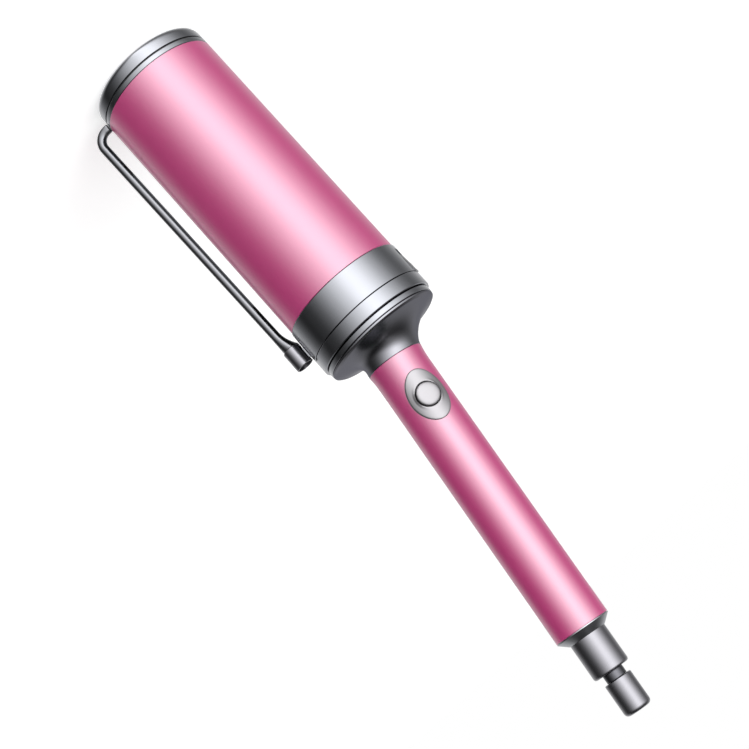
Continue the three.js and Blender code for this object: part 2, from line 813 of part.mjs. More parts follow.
// A strip whose finger faces the side of the swivel's shaft.
function neutralContact() {
  const outline = new THREE.Shape([
    at(NEUTRAL_CONTACT_START, -4.7),
    at(NEUTRAL_CONTACT_START, -7.4),
    at(BUSH_START - FIT, -7.4),
    at(BUSH_START - FIT, -6.9),
    at(NEUTRAL_CONTACT_START + 0.5, -6.9),
    at(NEUTRAL_CONTACT_START + 0.5, -5.2),
    at(NEUTRAL_CONTACT_START + 2.4, -5.2),
    at(NEUTRAL_CONTACT_START + 2.4, -4.7),
  ]);
  return sideways(outline, 1.5);
}

// ---------------------------------------------------------------- swivelling plug spigot

function swivelStub() {
  return turned([
    at(stubBore, SHAFT_START),
    at(SHAFT_RADIUS, SHAFT_START),
    at(SHAFT_RADIUS, clipGroove.from),
    at(clipGroove.radius, clipGroove.from),
    at(clipGroove.radius, clipGroove.to),
    at(SHAFT_RADIUS, clipGroove.to),
    at(SHAFT_RADIUS, stubStart),
    ...arc(STUB_RADIUS - 0.4, stubStart + 0.4, 0.4, -90, 0, 2),
    ...arc(STUB_RADIUS - 0.7, stubEnd - 0.7, 0.7, 0, 90, 3),
    at(TIP_RADIUS, stubEnd),
    at(stubBore, stubEnd),
  ], 32);
}

function swivelInsulator() {
  return turned([
    at(1.7, SHAFT_START - 1.5),
    at(stubBore - FIT, SHAFT_START - 1.5),
    at(stubBore - FIT, stubEnd + SEAM),
    at(GROOVE_RADIUS, stubEnd + SEAM),
    at(GROOVE_RADIUS, grooveEnd - SEAM),
    at(1.7, grooveEnd - SEAM),
  ], INNER_FACETS);
}

function plugTip() {
  const endRadius = 1.8;
  return turned([
    at(0, LIVE_CONTACT_START + 0.8),
    at(1.4, LIVE_CONTACT_START + 0.8),
    at(1.4, grooveEnd),
    ...arc(TIP_RADIUS - 0.4, grooveEnd + 0.4, 0.4, -90, 0, 2),
    ...arc(TIP_RADIUS - endRadius, spigotEnd - endRadius, endRadius, 0, 90, 4),
    at(0, spigotEnd),
  ], 28);
}

// A split ring in the shaft's groove keeps the spigot in its bush.
function swivelRetainingRing() {
  const outline = [...arc(0, 0, 5.9, 20, 340, 24), ...arc(0, 0, 3.85, 340, 20, 24)];
  return raised(new THREE.Shape(outline), clipGroove.from + SEAM, clipGroove.to - SEAM);
}

// ---------------------------------------------------------------- leads

function lead(points) {
  const curve = new THREE.CatmullRomCurve3(points, false, 'centripetal');
  return wire(curve, 0.65, 18, 6);
}

const spot = (x, y, z) => new THREE.Vector3(x, y, z);

function heaterLead(side) {
  return lead([
    spot(0, 4 * side, SHOE_END - 0.6),
    spot(0, 4 * side, SHOE_END + 8),
    spot(0.5, 3 * side, bandTop - 10),
    fromDeck(2.6, -4 * side, NECK_STATION - 2),
    fromDeck(2, -4 * side, BOARD_START - 0.6),
  ]);
}

function sensorLead() {
  return lead([
    spot(10, 3.4, sensorEnd + 0.8),
    spot(9.6, 3.6, sensorEnd + 16),
    spot(7.6, 3.4, SHOE_END - 3),
    spot(4.6, 0.4, SHOE_END + 6),
    spot(4, 0, bandTop - 8),
    fromDeck(4, 0, NECK_STATION - 2),
    fromDeck(2, 0, BOARD_START - 0.6),
  ]);
}

function supplyLeadLive() {
  return lead([
    fromDeck(6.6, 0, LIVE_CONTACT_START - 0.6),
    fromDeck(6.8, 0.4, TRAY_END - 0.5),
    fromDeck(5.4, 2.2, BOARD_END + 2),
    fromDeck(2, 3, BOARD_END + 0.8),
  ]);
}

function supplyLeadNeutral() {
  return lead([
    fromDeck(-6.6, 0, NEUTRAL_CONTACT_START - 0.6),
    fromDeck(-6.4, -0.6, TRAY_END + 4),
    fromDeck(-5, -2.6, BOARD_END + 4),
    fromDeck(-1, -3.4, BOARD_END + 2.2),
    fromDeck(2, -3, BOARD_END + 0.8),
  ]);
}

// ---------------------------------------------------------------- the wand

place(wand, 'tip_cap', tipCap(), CHROME);
place(wand, 'tip_gasket', tipGasket(), BLACK_PLASTIC);
place(wand, 'tip_ring', tipRing(), CHROME);
place(wand, 'tip_plug', tipPlug(), CERAMIC);
place(wand, 'tip_screw', screw(1.3, 2.6, 2.8, plugTop + SEAM, 1.8), STEEL);
place(wand, 'barrel_tube', barrelTube(), PINK);
place(wand, 'heater_shoe_front', heaterShoe(), ALUMINIUM);
place(wand, 'heater_shoe_back', heaterShoe().rotateZ(Math.PI), ALUMINIUM);
place(wand, 'heater_plate', block([-2, 2], [-10, 10], [SHOE_START + 2, SHOE_END - 2]), CERAMIC);
place(wand, 'shoe_spring_left', shoeSpring(), STEEL);
place(wand, 'shoe_spring_right', shoeSpring().rotateZ(Math.PI), STEEL);
place(wand, 'temperature_sensor', bar(1.4, 10, 3.4, SENSOR_START, sensorEnd, 16), CERAMIC);
place(wand, 'thermal_fuse', bar(2, -10, 4.1, SENSOR_START, SENSOR_START + FUSE_LENGTH, 20), STEEL);
place(wand, 'mica_disc', micaDisc(), MICA);
place(wand, 'barrel_holder', barrelHolder(), BLACK_PLASTIC);
place(wand, 'collar_band', collarBand(), CHROME);
place(wand, 'collar_ring', collarRing(), CHROME);
place(wand, 'rim_ring', rimRing(), CHROME);
place(wand, 'bell_neck', bellNeck(), BLACK_CHROME);
holderScrewAzimuths.forEach((azimuth, i) => {
  const geometry = screw(0.95, 2.3, ringTop + 2.7, holderFlange - SEAM, -1.9);
  const x = holderScrewCircle * Math.cos(azimuth);
  const y = holderScrewCircle * Math.sin(azimuth);
  place(wand, `holder_screw_${i + 1}`, geometry.translate(x, y, 0), STEEL);
});
place(wand, 'heat_slide_switch', heatSlideSwitch(), BLACK_PLASTIC);
place(wand, 'heat_slide_tab', heatSlideTab(), STEEL);

place(wand, 'clip_wire', clipWire(), CHROME);
place(wand, 'clip_ferrule', clipFerrule(), STEEL);
place(wand, 'clip_pin', clipPin(), STEEL);
place(wand, 'clip_spring', clipSpring(), STEEL);

place(handle, 'handle_tube', handleTube(), PINK);
place(deck, 'button_bezel', buttonBezel(), STEEL);
place(deck, 'power_button', powerButton(), STEEL);
place(deck, 'tact_switch', tactSwitch(), BLACK_PLASTIC);
place(deck, 'control_board', controlBoard(), BOARD_GREEN);
place(deck, 'board_tray', boardTray(), BLACK_PLASTIC);
place(deck, 'power_module', powerModule(), BLACK_PLASTIC);
place(deck, 'capacitor', capacitor(), ALUMINIUM);
place(handle, 'handle_end_ring', handleEndRing(), BLACK_CHROME);
place(handle, 'swivel_bush', swivelBush(), BLACK_PLASTIC);
place(deck, 'contact_spring_live', liveContact(), BRASS);
place(deck, 'contact_spring_neutral', neutralContact(), BRASS);
place(handle, 'swivel_stub', swivelStub(), STEEL);
place(handle, 'swivel_insulator', swivelInsulator(), BLACK_PLASTIC);
place(handle, 'plug_tip', plugTip(), STEEL);
place(handle, 'swivel_retaining_ring', swivelRetainingRing(), STEEL);

place(wand, 'heater_lead_live', heaterLead(1), SILICONE_RED);
place(wand, 'heater_lead_neutral', heaterLead(-1), SILICONE_WHITE);
place(wand, 'sensor_lead', sensorLead(), SILICONE_WHITE);
place(wand, 'supply_lead_live', supplyLeadLive(), SILICONE_RED);
place(wand, 'supply_lead_neutral', supplyLeadNeutral(), SILICONE_WHITE);

export default wand;
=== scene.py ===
"""Looks of the curling wand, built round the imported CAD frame.

Every visible CAD node is replaced by a finely turned piece of the same size, with rounded edges.
Lengths are in millimetres in the helpers' local frames and become metres in the object's frame.
"""
import json
import math

import bmesh
import bpy
from mathutils import Matrix, Vector


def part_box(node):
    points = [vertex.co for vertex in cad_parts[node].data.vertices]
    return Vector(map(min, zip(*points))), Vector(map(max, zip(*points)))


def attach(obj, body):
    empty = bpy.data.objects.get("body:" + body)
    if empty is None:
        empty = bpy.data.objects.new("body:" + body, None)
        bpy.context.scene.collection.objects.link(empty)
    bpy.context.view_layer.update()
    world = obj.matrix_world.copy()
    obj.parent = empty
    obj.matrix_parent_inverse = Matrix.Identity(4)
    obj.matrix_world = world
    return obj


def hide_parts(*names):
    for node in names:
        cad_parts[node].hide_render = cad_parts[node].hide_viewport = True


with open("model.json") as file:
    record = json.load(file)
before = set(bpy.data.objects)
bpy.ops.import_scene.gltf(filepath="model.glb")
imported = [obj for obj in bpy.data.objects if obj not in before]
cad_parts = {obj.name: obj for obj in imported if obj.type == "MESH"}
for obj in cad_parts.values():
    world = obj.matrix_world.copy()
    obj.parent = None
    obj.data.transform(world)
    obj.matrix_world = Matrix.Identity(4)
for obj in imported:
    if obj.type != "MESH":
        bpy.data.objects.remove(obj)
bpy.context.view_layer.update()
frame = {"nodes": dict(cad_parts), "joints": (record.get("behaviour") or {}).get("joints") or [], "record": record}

# ---------------------------------------------------------------- local frames

MM_PER_METRE = 1000
MM = Matrix.Scale(1 / MM_PER_METRE, 4)
JOINTS = {joint["name"]: joint for joint in frame["joints"]}


def handle_frame():
    """The handle's frame: origin where its axis crosses the barrel's, +Z along the handle."""
    swivel = JOINTS["spigot_swivel"]
    axis = Vector(swivel["axis"]).normalized()
    on_axis = Vector(swivel["pos_m"])
    pivot = on_axis - axis * (on_axis.x / axis.x)
    lean = math.atan2(axis.x, axis.z)
    return Matrix.Translation(pivot) @ Matrix.Rotation(lean, 4, "Y") @ MM


def deck_frame():
    """The handle's frame turned about its axis, so that +X is the power button's direction."""
    outward = -Vector(JOINTS["button_press"]["axis"])
    local = HANDLE.inverted().to_3x3() @ outward
    return HANDLE @ Matrix.Rotation(math.atan2(local.y, local.x), 4, "Z")


BARREL = MM
HANDLE = handle_frame()
DECK = deck_frame()
PIVOT_Z = (MM.inverted() @ HANDLE.translation).z
LEAN = math.atan2(HANDLE[0][2], HANDLE[2][2])


class Reach:
    """How far a CAD node reaches in a local frame: along its X and Z, and out from its Z."""

    def __init__(self, node_name, local=BARREL):
        to_local = local.inverted()
        points = [to_local @ vertex.co for vertex in frame["nodes"][node_name].data.vertices]
        self.low_x = min(point.x for point in points)
        self.high_x = max(point.x for point in points)
        self.start = min(point.z for point in points)
        self.end = max(point.z for point in points)
        self.radius = max(math.hypot(point.x, point.y) for point in points)


def box_mm(node_name):
    """The lowest and highest corners of a CAD node, in millimetres."""
    return [corner * MM_PER_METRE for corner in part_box(node_name)]


# ---------------------------------------------------------------- camera

CAMERA_LENS = 89.0
CAMERA_AZIMUTH = math.radians(-8)
CAMERA_ELEVATION = math.radians(11.75)
CAMERA_ROLL = math.radians(138.25)
CAMERA_DISTANCE = 703.5
CAMERA_TARGET = Vector((12.5, 0, 152.1))
CAMERA_NEAREST = 10.0  # nothing nearer than this is drawn


def make_camera():
    """A close camera, rolled so that the wand lies across the frame with its tip at the top."""
    back = Vector((
        math.sin(CAMERA_AZIMUTH) * math.cos(CAMERA_ELEVATION),
        -math.cos(CAMERA_AZIMUTH) * math.cos(CAMERA_ELEVATION),
        math.sin(CAMERA_ELEVATION),
    ))
    level = Vector((0, 0, 1)).cross(back).normalized()
    rise = back.cross(level)
    right = level * math.cos(CAMERA_ROLL) + rise * math.sin(CAMERA_ROLL)
    up = rise * math.cos(CAMERA_ROLL) - level * math.sin(CAMERA_ROLL)
    camera = bpy.data.objects.new("camera", bpy.data.cameras.new("camera"))
    camera.data.lens = CAMERA_LENS
    camera.data.clip_start = CAMERA_NEAREST / MM_PER_METRE
    camera.rotation_mode = "QUATERNION"
    camera.rotation_quaternion = Matrix((right, up, back)).transposed().to_quaternion()
    camera.location = MM @ (CAMERA_TARGET + back * CAMERA_DISTANCE)
    bpy.context.scene.collection.objects.link(camera)
    bpy.context.scene.camera = camera


# ---------------------------------------------------------------- studio

# Brightness of the studio round the wand, by direction: degrees from the camera's side, with
# the clip's side positive.
STUDIO_PEAK = 4.0
STUDIO_STOPS = (
    (-180, 0.90), (-145, 0.75), (-122, 0.40), (-102, 0.38), (-82, 0.90), (-62, 1.9), (-46, 3.0),
    (-30, 3.8), (-14, 3.7), (0, 2.75), (17, 1.75), (32, 1.0), (46, 0.48), (62, 0.18), (82, 0.08),
    (100, 0.10), (120, 0.45), (142, 0.9), (180, 0.90),
)
# The studio dims upwards between these heights over the horizon, down to a share of its light.
STUDIO_DIMS_FROM = math.radians(25)
STUDIO_DIMS_TO = math.radians(70)
STUDIO_TOP_SHARE = 0.12


def node(tree, kind, **settings):
    """A new shader node with some of its settings."""
    made = tree.nodes.new(kind)
    for name, value in settings.items():
        setattr(made, name, value)
    return made


def make_world():
    """White to the eye, and a soft studio of bright and dark sides to every other ray."""
    world = bpy.data.worlds.new("studio")
    bpy.context.scene.world = world
    world.use_nodes = True
    tree = world.node_tree
    tree.nodes.clear()
    link = tree.links.new
    where = node(tree, "ShaderNodeTexCoord")
    split = node(tree, "ShaderNodeSeparateXYZ")
    link(where.outputs["Generated"], split.inputs[0])
    turn = node(tree, "ShaderNodeMath", operation="ARCTAN2")
    link(split.outputs["Y"], turn.inputs[0])
    link(split.outputs["X"], turn.inputs[1])
    # The camera stands in the direction -90 degrees plus its azimuth.
    offset = node(tree, "ShaderNodeMath", operation="ADD")
    offset.inputs[1].default_value = math.pi / 2 - CAMERA_AZIMUTH
    link(turn.outputs[0], offset.inputs[0])
    wrap = node(tree, "ShaderNodeMath", operation="WRAP")
    wrap.inputs[1].default_value = -math.pi
    wrap.inputs[2].default_value = math.pi
    link(offset.outputs[0], wrap.inputs[0])
    share = node(tree, "ShaderNodeMapRange")
    share.inputs["From Min"].default_value = -math.pi
    share.inputs["From Max"].default_value = math.pi
    link(wrap.outputs[0], share.inputs["Value"])
    ramp = node(tree, "ShaderNodeValToRGB")
    ramp.color_ramp.interpolation = "CARDINAL"
    while len(ramp.color_ramp.elements) < len(STUDIO_STOPS):
        ramp.color_ramp.elements.new(0.5)
    for element, (angle, level) in zip(ramp.color_ramp.elements, STUDIO_STOPS):
        element.position = (angle + 180) / 360
        element.color = (*[level / STUDIO_PEAK] * 3, 1)
    link(share.outputs["Result"], ramp.inputs["Fac"])
    top = node(tree, "ShaderNodeMapRange", interpolation_type="SMOOTHSTEP")
    top.inputs["From Min"].default_value = math.sin(STUDIO_DIMS_FROM)
    top.inputs["From Max"].default_value = math.sin(STUDIO_DIMS_TO)
    top.inputs["To Min"].default_value = 1.0
    top.inputs["To Max"].default_value = STUDIO_TOP_SHARE
    link(split.outputs["Z"], top.inputs["Value"])
    level = node(tree, "ShaderNodeMath", operation="MULTIPLY")
    link(ramp.outputs["Color"], level.inputs[0])
    link(top.outputs["Result"], level.inputs[1])
    studio = node(tree, "ShaderNodeBackground")
    studio.inputs["Strength"].default_value = STUDIO_PEAK
    link(level.outputs[0], studio.inputs["Color"])
    white = node(tree, "ShaderNodeBackground")
    white.inputs["Color"].default_value = (1, 1, 1, 1)
    ray = node(tree, "ShaderNodeLightPath")
    mix = node(tree, "ShaderNodeMixShader")
    link(ray.outputs["Is Camera Ray"], mix.inputs[0])
    link(studio.outputs[0], mix.inputs[1])
    link(white.outputs[0], mix.inputs[2])
    output = node(tree, "ShaderNodeOutputWorld")
    link(mix.outputs[0], output.inputs["Surface"])


FLOOR_RADIUS = 6.0  # metres
FLOOR_GAP = 0.2  # between the cap's end face and the floor
FLOOR_SIDES = 96
FLOOR_WHITE = 0.9
FLOOR_ROUGHNESS = 0.9
FLOOR_GLOW = 0.55  # keeps the floor as white as the background


def make_floor():
    """A wide pale floor under the cap. It gives no reflections, so the metal shows the studio."""
    bm = bmesh.new()
    bmesh.ops.create_circle(bm, cap_ends=True, segments=FLOOR_SIDES, radius=FLOOR_RADIUS)
    mesh = bpy.data.meshes.new("floor")
    bm.to_mesh(mesh)
    bm.free()
    floor = bpy.data.objects.new("floor", mesh)
    floor.location.z = -FLOOR_GAP / MM_PER_METRE
    bpy.context.scene.collection.objects.link(floor)
    floor.visible_glossy = False
    material = bpy.data.materials.new("pale_floor")
    material.use_nodes = True
    shader = material.node_tree.nodes["Principled BSDF"]
    shader.inputs["Base Color"].default_value = (FLOOR_WHITE, FLOOR_WHITE, FLOOR_WHITE, 1)
    shader.inputs["Roughness"].default_value = FLOOR_ROUGHNESS
    shader.inputs["Emission Color"].default_value = (1, 1, 1, 1)
    shader.inputs["Emission Strength"].default_value = FLOOR_GLOW
    mesh.materials.append(material)


# ---------------------------------------------------------------- materials

MATERIALS = {}
GRAIN_HEIGHT = 0.00005  # metres, at full grain_depth
MOTTLE_SCALE = 45.0


def surface(name, color, roughness, metallic=0.0, grain=(1, 1, 1), grain_scale=900.0,
            grain_depth=0.04, grain_sheen=0.15, mottle=0.03, lean=0.0, **sockets):
    """A finish with a fine grain, and a broad mottle in its colour.

    grain gives how fast the grain changes along X, Y and Z; lean turns it to the handle's axis.
    grain_depth is the strength of its bumps, and grain_sheen its share in the roughness. Any
    other name is an input of the shader, with _ for a space.
    """
    material = bpy.data.materials.new(name)
    material.use_nodes = True
    tree = material.node_tree
    link = tree.links.new
    shader = tree.nodes["Principled BSDF"]
    shader.inputs["Metallic"].default_value = metallic
    for socket, value in sockets.items():
        shader.inputs[socket.replace("_", " ")].default_value = value
    where = node(tree, "ShaderNodeTexCoord")
    turn = node(tree, "ShaderNodeMapping")
    turn.inputs["Rotation"].default_value = (0, -lean, 0)
    turn.inputs["Scale"].default_value = grain
    link(where.outputs["Object"], turn.inputs["Vector"])
    fine = node(tree, "ShaderNodeTexNoise")
    fine.inputs["Scale"].default_value = grain_scale
    fine.inputs["Detail"].default_value = 4.0
    link(turn.outputs["Vector"], fine.inputs["Vector"])
    broad = node(tree, "ShaderNodeTexNoise")
    broad.inputs["Scale"].default_value = MOTTLE_SCALE
    broad.inputs["Detail"].default_value = 3.0
    link(where.outputs["Object"], broad.inputs["Vector"])
    # Colour: the finish with the mottle.
    shade = node(tree, "ShaderNodeMapRange")
    shade.inputs["To Min"].default_value = 1 - mottle
    shade.inputs["To Max"].default_value = 1 + mottle
    link(broad.outputs["Fac"], shade.inputs["Value"])
    tint = node(tree, "ShaderNodeMix", data_type="RGBA", blend_type="MULTIPLY")
    tint.inputs["Factor"].default_value = 1.0
    tint.inputs["A"].default_value = (*color, 1)
    link(shade.outputs["Result"], tint.inputs["B"])
    link(tint.outputs["Result"], shader.inputs["Base Color"])
    # Roughness and bumps: both follow the grain.
    rough = node(tree, "ShaderNodeMapRange")
    rough.inputs["To Min"].default_value = roughness * (1 - grain_sheen)
    rough.inputs["To Max"].default_value = roughness * (1 + grain_sheen)
    link(fine.outputs["Fac"], rough.inputs["Value"])
    link(rough.outputs["Result"], shader.inputs["Roughness"])
    bump = node(tree, "ShaderNodeBump")
    bump.inputs["Strength"].default_value = grain_depth
    bump.inputs["Distance"].default_value = GRAIN_HEIGHT
    link(fine.outputs["Fac"], bump.inputs["Height"])
    link(bump.outputs["Normal"], shader.inputs["Normal"])
    MATERIALS[name] = material


ROUND_BARREL = (0.02, 0.02, 1.0)  # grain that runs round a turned piece
ALONG_WIRE = (1.0, 1.0, 0.02)  # grain that runs along a drawn wire


def make_materials():
    pink = dict(color=(0.42, 0.014, 0.142), roughness=0.28, IOR=2.65, mottle=0.02,
                grain_sheen=0.04)
    surface("pink_barrel", grain_scale=2600.0, grain_depth=0.015, **pink)
    surface("pink_handle", grain_scale=2600.0, grain_depth=0.015, lean=LEAN, **pink)
    chrome = dict(color=(0.262, 0.268, 0.288), roughness=0.2, metallic=1.0)
    surface("chrome_turned", grain=ROUND_BARREL, grain_scale=2400.0, **chrome)
    surface("chrome_bell", (0.23, 0.23, 0.25), 0.26, 1.0, grain=ROUND_BARREL,
            grain_scale=2400.0, grain_depth=0.01, grain_sheen=0.05,
            Specular_Tint=(0.42, 0.42, 0.45, 1))
    # The wire's chrome is a darker copy of the turned chrome: the darkening is painted shade, standing in for the
    # dim reflections that the wire shows beside the barrel.
    surface("chrome_wire_painted_shade", (0.19, 0.192, 0.205), 0.22, 1.0, grain=ALONG_WIRE, grain_scale=2400.0)
    surface("chrome_spigot_ring", (0.34, 0.345, 0.365), 0.32, 1.0, grain=ROUND_BARREL,
            grain_scale=2400.0, lean=LEAN)
    surface("chrome_groove", (0.10, 0.10, 0.11), 0.3, 1.0, grain=ROUND_BARREL,
            grain_scale=2000.0, lean=LEAN)
    steel = dict(color=(0.235, 0.232, 0.25), roughness=0.3, metallic=1.0)
    surface("steel_turned", grain=ROUND_BARREL, grain_scale=2600.0, grain_depth=0.04, **steel)
    surface("steel_spigot", grain=ROUND_BARREL, grain_scale=2600.0, grain_depth=0.03, lean=LEAN,
            **steel)
    surface("silver_satin", (0.31, 0.302, 0.314), 0.45, 1.0, grain_scale=3000.0, grain_depth=0.05,
            lean=LEAN)
    surface("seam_black", (0.012, 0.012, 0.014), 0.5, grain_scale=1500.0)
    surface("black_plastic", (0.02, 0.02, 0.022), 0.45, grain_scale=1500.0, grain_depth=0.2)
    surface("plain_steel", (0.5, 0.5, 0.51), 0.35, 1.0, grain_scale=1200.0)
    surface("plain_aluminium", (0.68, 0.69, 0.71), 0.42, 1.0, grain=(1, 1, 0.03))
    surface("white_ceramic", (0.8, 0.76, 0.68), 0.7, grain_scale=700.0, grain_depth=0.3)
    surface("mica_sheet", (0.5, 0.4, 0.22), 0.5, grain_scale=400.0, grain_depth=0.3, mottle=0.2)
    surface("board_green", (0.02, 0.14, 0.05), 0.35, grain=(1, 1, 0.1), mottle=0.1)
    surface("sprung_brass", (0.7, 0.48, 0.18), 0.3, 1.0, grain=ALONG_WIRE)
    surface("silicone_red", (0.4, 0.03, 0.02), 0.55, grain_scale=1500.0, grain_depth=0.2)
    surface("silicone_white", (0.75, 0.75, 0.72), 0.55, grain_scale=1500.0, grain_depth=0.2)


INNER_FINISH = {
    "plain_steel": "plain_steel", "cast_aluminium": "plain_aluminium",
    "black_plastic": "black_plastic", "ceramic": "white_ceramic", "mica": "mica_sheet",
    "circuit_board": "board_green", "contact_brass": "sprung_brass", "lead_red": "silicone_red",
    "lead_white": "silicone_white", "satin_steel": "steel_turned",
    "anodised_pink": "pink_barrel", "polished_chrome": "chrome_turned",
    "satin_silver": "silver_satin", "dark_chrome": "chrome_bell",
}


def finish_cad_nodes():
    """Gives every CAD node that stays in view its procedural finish."""
    slot_of = {row["node"]: row["material_slot"] for row in frame["record"]["subparts"]}
    for name, obj in frame["nodes"].items():
        obj.data.materials.clear()
        obj.data.materials.append(MATERIALS[INNER_FINISH[slot_of[name]]])


# ---------------------------------------------------------------- mesh helpers

def rounded(corners, closed=True):
    """An outline from (x, y) or (x, y, radius) corners, with each radius as an arc."""
    points = []
    count = len(corners)
    for i, corner in enumerate(corners):
        here = Vector(corner[:2])
        ends = not closed and i in (0, count - 1)
        radius = corner[2] if len(corner) > 2 and not ends else 0
        if not radius:
            points.append(here)
            continue
        before = (Vector(corners[i - 1][:2]) - here).normalized()
        after = (Vector(corners[(i + 1) % count][:2]) - here).normalized()
        half = before.angle(after) / 2
        centre = here + (before + after).normalized() * (radius / math.sin(half))
        start = here + before * (radius / math.tan(half)) - centre
        end = here + after * (radius / math.tan(half)) - centre
        sweep = start.angle_signed(end)
        steps = max(3, round(abs(sweep) / math.radians(15)))
        for k in range(steps + 1):
            points.append(centre + Matrix.Rotation(-sweep * k / steps, 2) @ start)
    return points


def bezier(a, b, c, d, steps):
    """Points of a cubic curve."""
    points = []
    for k in range(steps + 1):
        t = k / steps
        s = 1 - t
        points.append(
            Vector(a) * s ** 3 + Vector(b) * 3 * s * s * t
            + Vector(c) * 3 * s * t * t + Vector(d) * t ** 3
        )
    return points


# Sides of a turned piece, from the widest pieces to the slimmest.
BARREL_SIDES = 224
CAP_SIDES = 192
RING_SIDES = 160
SPIGOT_SIDES = 128
FERRULE_SIDES = 96
PIN_SIDES = 40


def turned(profile, segments=RING_SIDES):
    """A bmesh turned from (radius, z) points: a closed loop, or a line from axis to axis."""
    bm = bmesh.new()
    on_axis = profile[0][0] == 0 and profile[-1][0] == 0
    rings = []
    for radius, z in profile:
        if radius == 0:
            rings.append([bm.verts.new((0, 0, z))] * segments)
            continue
        ring = []
        for k in range(segments):
            angle = 2 * math.pi * k / segments
            ring.append(bm.verts.new((radius * math.cos(angle), radius * math.sin(angle), z)))
        rings.append(ring)
    pairs = list(zip(rings, rings[1:]))
    if not on_axis:
        pairs.append((rings[-1], rings[0]))
    for low, high in pairs:
        for k in range(segments):
            j = (k + 1) % segments
            corners = []
            for vertex in (low[k], low[j], high[j], high[k]):
                if vertex not in corners:
                    corners.append(vertex)
            if len(corners) > 2:
                bm.faces.new(corners)
    bmesh.ops.recalc_face_normals(bm, faces=bm.faces)
    return bm


def skinned(rings, cap=True):
    """A closed skin over rings of points."""
    bm = bmesh.new()
    rows = [[bm.verts.new(point) for point in ring] for ring in rings]
    sides = len(rows[0])
    for low, high in zip(rows, rows[1:]):
        for k in range(sides):
            j = (k + 1) % sides
            bm.faces.new((low[k], low[j], high[j], high[k]))
    if cap:
        bm.faces.new(rows[0])
        bm.faces.new(rows[-1])
    bmesh.ops.recalc_face_normals(bm, faces=bm.faces)
    return bm


def raised(outline, low, high):
    """An outline in the XY plane raised along Z."""
    return skinned([[Vector((x, y, z)) for x, y in outline] for z in (low, high)])


def tool(bm):
    """A throwaway object for cutting or joining."""
    mesh = bpy.data.meshes.new("tool")
    bm.to_mesh(mesh)
    bm.free()
    obj = bpy.data.objects.new("tool", mesh)
    bpy.context.scene.collection.objects.link(obj)
    return obj


def combined(bm, others, operation):
    """bm with each other bmesh cut from it or joined to it."""
    for other in others:
        pair = tool(bm), tool(other)
        modifier = pair[0].modifiers.new("boolean", "BOOLEAN")
        modifier.operation = operation
        modifier.solver = "MANIFOLD"
        modifier.object = pair[1]
        bm = bmesh.new()
        bm.from_object(pair[0], bpy.context.evaluated_depsgraph_get())
        for obj in pair:
            mesh = obj.data
            bpy.data.objects.remove(obj)
            bpy.data.meshes.remove(mesh)
    return bm


def finished(name, bm, material, replaces, body, local=BARREL, crease=32):
    """Makes the piece, in place of the CAD nodes it stands for, riding on their body.

    crease is the angle in degrees from which an edge is drawn sharp.
    """
    bm.transform(local)
    mesh = bpy.data.meshes.new(name)
    bm.to_mesh(mesh)
    bm.free()
    mesh.shade_smooth()
    mesh.set_sharp_from_angle(angle=math.radians(crease))
    obj = bpy.data.objects.new(name, mesh)
    bpy.context.scene.collection.objects.link(obj)
    mesh.materials.append(MATERIALS[material])
    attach(obj, body)
    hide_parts(*replaces)
    return obj


# ---------------------------------------------------------------- tip

SEAM = 0.12  # visible hairline between two pieces, each side
EDGE = 0.22  # usual edge rounding
ROOF = 1.6  # usual wall thickness of a cover
CAP_ROUNDING = 3.3
CAP_SKIRT = 1.8  # wall thickness of the cap behind its rounding
CAP_FLOOR = 1.9  # thickness of the cap's end wall
DISH_RADIUS = 17.5  # of the shallow dish in the cap's end face
DISH_DEPTH = 0.25
DISH_SLOPE = 0.3
PLUG_HOLE = 2.0  # radius of the hole for the tip's screw
RING_TAIL = 7.0  # how far the end ring reaches into the barrel


def make_cap():
    cap = Reach("tip_cap")
    skirt = cap.radius - CAP_SKIRT
    end = cap.end - 0.02
    outline = rounded([
        (0, DISH_DEPTH), (DISH_RADIUS - DISH_SLOPE, DISH_DEPTH),
        (DISH_RADIUS + DISH_SLOPE, 0, DISH_SLOPE), (cap.radius, 0, CAP_ROUNDING),
        (cap.radius, end, EDGE), (skirt, end), (skirt, CAP_FLOOR + 0.6),
        (DISH_RADIUS - 0.5, CAP_FLOOR), (0, CAP_FLOOR),
    ], closed=False)
    finished("end_cap", turned(outline, CAP_SIDES), "chrome_turned", ["tip_cap"], "wand")


def make_gasket():
    gasket = Reach("tip_gasket")
    outline = rounded([
        (PLUG_HOLE, gasket.start), (gasket.radius, gasket.start), (gasket.radius, gasket.end),
        (PLUG_HOLE, gasket.end),
    ])
    finished("end_gasket", turned(outline), "seam_black", ["tip_gasket"], "wand")


def make_end_ring():
    """A ring with a floor over the gasket, and a tail that goes into the barrel."""
    barrel = Reach("barrel_tube")
    base = Reach("tip_gasket").end + 0.08
    floor = base + 1.5
    top = barrel.start - SEAM
    bore = barrel.radius - ROOF
    tail = barrel.start + RING_TAIL
    outline = rounded([
        (PLUG_HOLE, base), (barrel.radius, base, EDGE), (barrel.radius, top, EDGE), (bore, top),
        (bore, tail), (bore - ROOF, tail), (bore - ROOF, floor), (PLUG_HOLE, floor),
    ])
    finished("end_ring", turned(outline, CAP_SIDES), "chrome_turned", ["tip_ring"], "wand")


# ---------------------------------------------------------------- barrel and collar

BARREL_WALL = 1.4


def make_barrel():
    tube = Reach("barrel_tube")
    bore = tube.radius - BARREL_WALL
    start = tube.start + SEAM / 2
    end = tube.end - SEAM
    outline = rounded([
        (tube.radius, start, EDGE), (tube.radius, end, EDGE), (bore, end), (bore, start),
    ])
    barrel = finished("barrel", turned(outline, BARREL_SIDES), "pink_barrel", ["barrel_tube"],
                      "wand")
    # The chrome beside it shows the studio, not the barrel.
    barrel.visible_glossy = False


